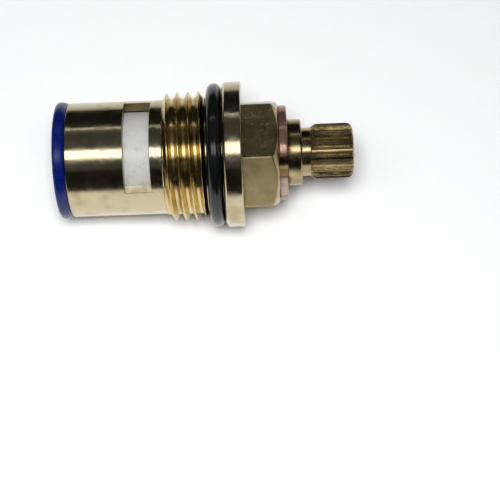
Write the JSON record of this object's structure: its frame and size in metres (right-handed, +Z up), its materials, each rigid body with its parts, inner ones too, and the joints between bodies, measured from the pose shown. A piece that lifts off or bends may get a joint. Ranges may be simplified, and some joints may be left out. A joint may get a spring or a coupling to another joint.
{
  "type": "ceramic disc tap cartridge",
  "caption": "Quarter turn ceramic disc tap cartridge: threaded brass housing with flange and hexagon, splined spindle, clip, and blue inlet seal.",
  "frame": {"origin": "on the cartridge's axis, at the plane of the flange's seat, where it stops against the tap body", "axes": "+X along the axis towards the splined end of the spindle, +Z up as the cartridge lies on a bench"},
  "size_m": [0.0407, 0.02, 0.02],
  "materials": {
    "turned_brass": "polished, turned",
    "spindle_brass": "bright, turned and rolled",
    "bronze": "stamped phosphor bronze, bright",
    "black_rubber": "moulded, satin",
    "blue_silicone": "moulded, satin",
    "white_plastic": "moulded, natural white",
    "alumina": "fired and ground white alumina"
  },
  "bodies": {
    "housing": {"housing": "turned_brass", "flange_o_ring": "black_rubber", "thrust_washer": "white_plastic", "fixed_disc": "alumina", "inlet_seal": "blue_silicone", "seal_support_ring": "white_plastic"},
    "spindle": {"spindle": "spindle_brass", "retaining_clip": "bronze", "spindle_o_ring_inner": "black_rubber", "spindle_o_ring_outer": "black_rubber"},
    "moving_disc": {"moving_disc": "alumina"}
  },
  "joints": [
    {"name": "spindle_turn", "type": "hinge", "parent": "housing", "child": "spindle", "pos_m": [0, 0, 0], "axis": [1, 0, 0], "range_deg": [0, 90]},
    {"name": "disc_turn", "type": "hinge", "parent": "housing", "child": "moving_disc", "pos_m": [-0.01166, 0, 0], "axis": [1, 0, 0], "range_deg": [0, 90]}
  ],
  "couplings": [
    {"joint": "disc_turn", "follows": "spindle_turn", "ratio": 1}
  ]
}
